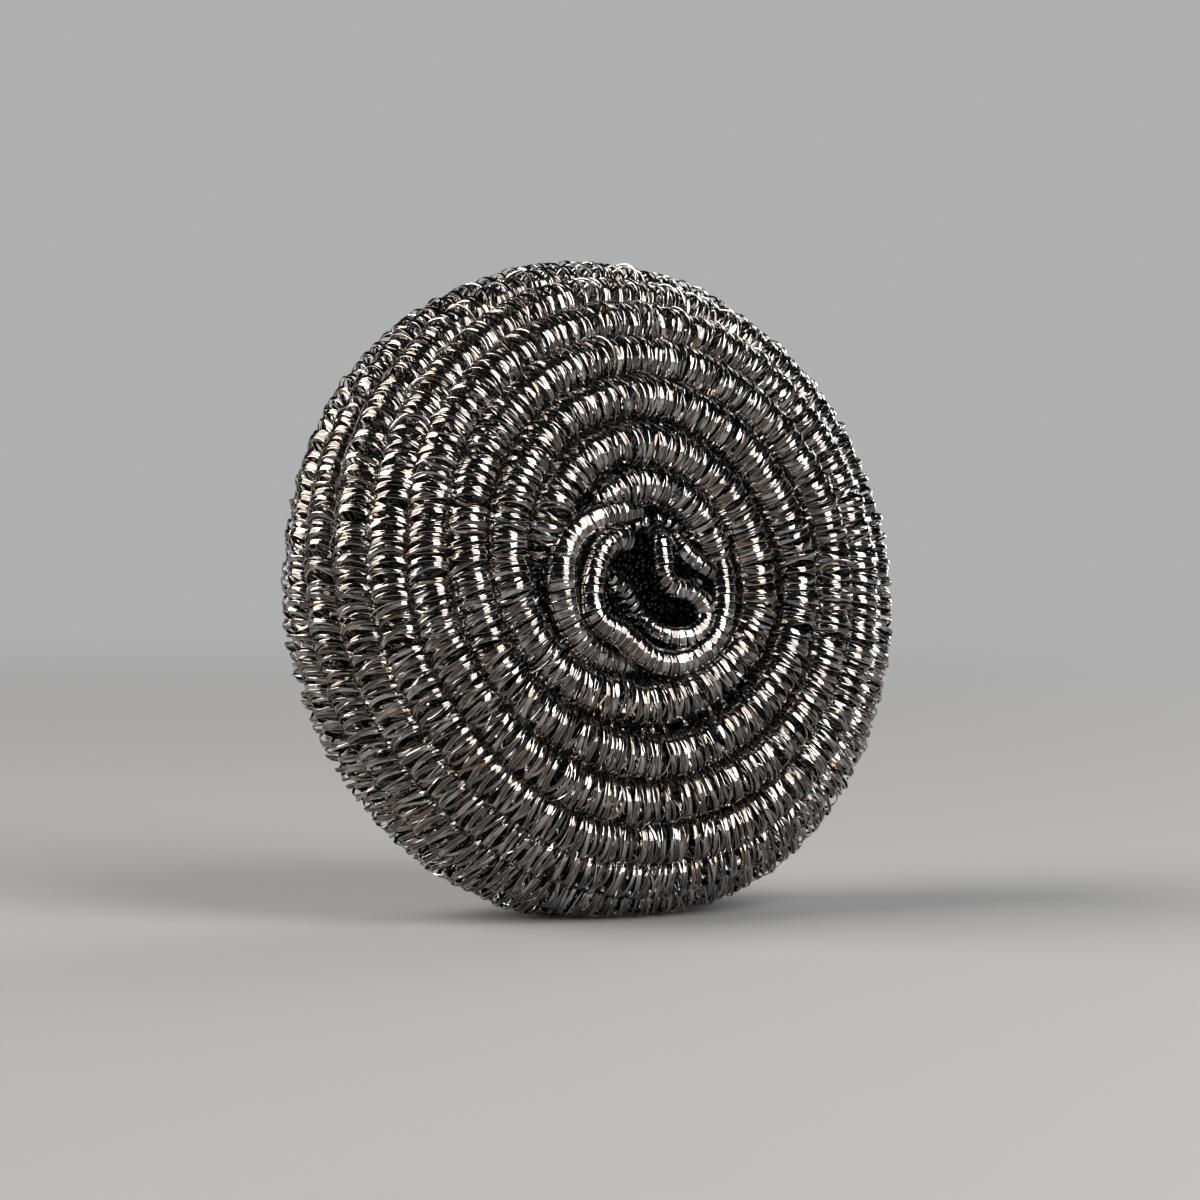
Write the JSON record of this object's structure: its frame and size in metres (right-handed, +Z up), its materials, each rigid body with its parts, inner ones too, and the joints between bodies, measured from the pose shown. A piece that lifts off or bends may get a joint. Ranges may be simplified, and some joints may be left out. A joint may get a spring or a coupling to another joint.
{
  "type": "pot scrubber",
  "caption": "Round coil scouring pad of bright steel ribbon, wound as a rope into a thick spiral disc and standing on its rim.",
  "frame": {"origin": "the middle of the bounding box at the ground that the rim stands on", "axes": "+Z up; the face with the tucked-in end looks towards -Y and leans back by ten degrees; +X to the right of a person facing that face"},
  "size_m": [0.0798, 0.0438, 0.0773],
  "materials": {
    "steel_ribbon": "bright drawn steel ribbon, with fine lengthwise streaks and a faint warm tint"
  },
  "bodies": {
    "root": {"wound_coil": "steel_ribbon"}
  },
  "joints": []
}
